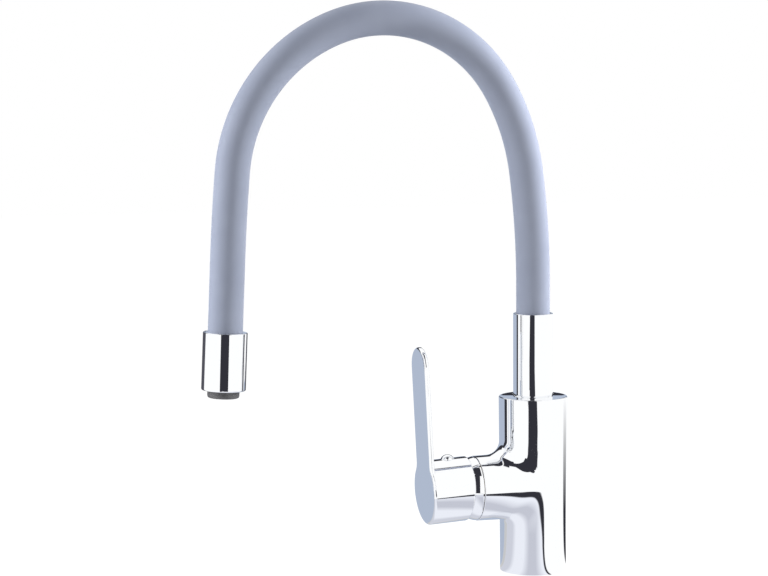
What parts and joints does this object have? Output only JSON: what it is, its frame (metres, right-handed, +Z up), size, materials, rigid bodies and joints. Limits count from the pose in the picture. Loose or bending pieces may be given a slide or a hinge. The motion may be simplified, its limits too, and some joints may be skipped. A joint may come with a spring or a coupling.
{
  "type": "single-lever mixer tap with flexible spout",
  "caption": "Single-lever deck mixer tap: upright chrome body with a front cartridge branch and upright lever, and a high arched flexible silicone spout ending in an aerator cup.",
  "frame": {"origin": "centre of the body's round base, on the deck surface it stands on", "axes": "+Z up along the body and the spout's swivel; the lever and the spout point towards -X; the tap is alike on both sides of the plane Y = 0"},
  "size_m": [0.2842, 0.054, 0.4921],
  "materials": {
    "chrome_plate": "polished",
    "silicone": "matte",
    "brass": "machined",
    "steel": "plain zinc plate",
    "rubber_seal": "matte",
    "ceramic": "lapped",
    "cartridge_plastic": "satin",
    "aerator_plastic": "matte",
    "hose_plastic": "satin"
  },
  "bodies": {
    "tap_body": {"body_casting": "chrome_plate", "base_o_ring": "rubber_seal", "fixing_stud": "brass", "stud_nut": "brass", "horseshoe_gasket": "rubber_seal", "horseshoe_plate": "steel", "cartridge_base": "cartridge_plastic", "port_seals": "rubber_seal", "fixed_disc": "ceramic", "cartridge_housing": "cartridge_plastic", "cartridge_nut": "brass", "bonnet_ring": "chrome_plate", "spout_retaining_screw": "steel", "slip_ring": "cartridge_plastic"},
    "spout": {"spout_sleeve": "chrome_plate", "spout_nipple": "brass", "spout_o_rings": "rubber_seal", "base_ferrule": "steel", "silicone_sleeve": "silicone", "gooseneck_liner": "hose_plastic", "water_hose": "hose_plastic"},
    "outlet": {"outlet_cup": "chrome_plate", "outlet_nipple": "brass", "outlet_ferrule": "steel", "aerator_gasket": "rubber_seal", "aerator_housing": "aerator_plastic", "aerator_insert": "aerator_plastic"},
    "temperature_turret": {"stem_carrier": "cartridge_plastic", "stem_pivot_pin": "steel"},
    "lever": {"lever_handle": "chrome_plate", "handle_grub_screw": "steel", "index_plug": "chrome_plate", "cartridge_stem": "steel"},
    "sliding_disc": {"moving_disc": "ceramic", "disc_carrier": "cartridge_plastic"}
  },
  "joints": [
    {"name": "spout_swivel", "type": "hinge", "parent": "tap_body", "child": "spout", "pos_m": [0, 0, 0.133], "axis": [0, 0, 1], "continuous": true},
    {"name": "spout_flex", "type": "hinge", "parent": "spout", "child": "outlet", "pos_m": [-0.117, 0, 0.417], "axis": [0, 1, 0], "range_deg": [-15, 35], "deforming": ["silicone_sleeve", "gooseneck_liner", "water_hose"]},
    {"name": "temperature_turn", "type": "hinge", "parent": "tap_body", "child": "temperature_turret", "pos_m": [-0.0435, 0, 0.065], "axis": [1, 0, 0], "range_deg": [-45, 45]},
    {"name": "flow_lift", "type": "hinge", "parent": "temperature_turret", "child": "lever", "pos_m": [-0.0435, 0, 0.065], "axis": [0, -1, 0], "range_deg": [0, 25]},
    {"name": "disc_slide", "type": "slide", "parent": "temperature_turret", "child": "sliding_disc", "axis": [0, 0, 1], "range_m": [0, 0.00423]}
  ],
  "couplings": [
    {"joint": "disc_slide", "follows": "flow_lift", "m_per_rad": 0.009686}
  ]
}
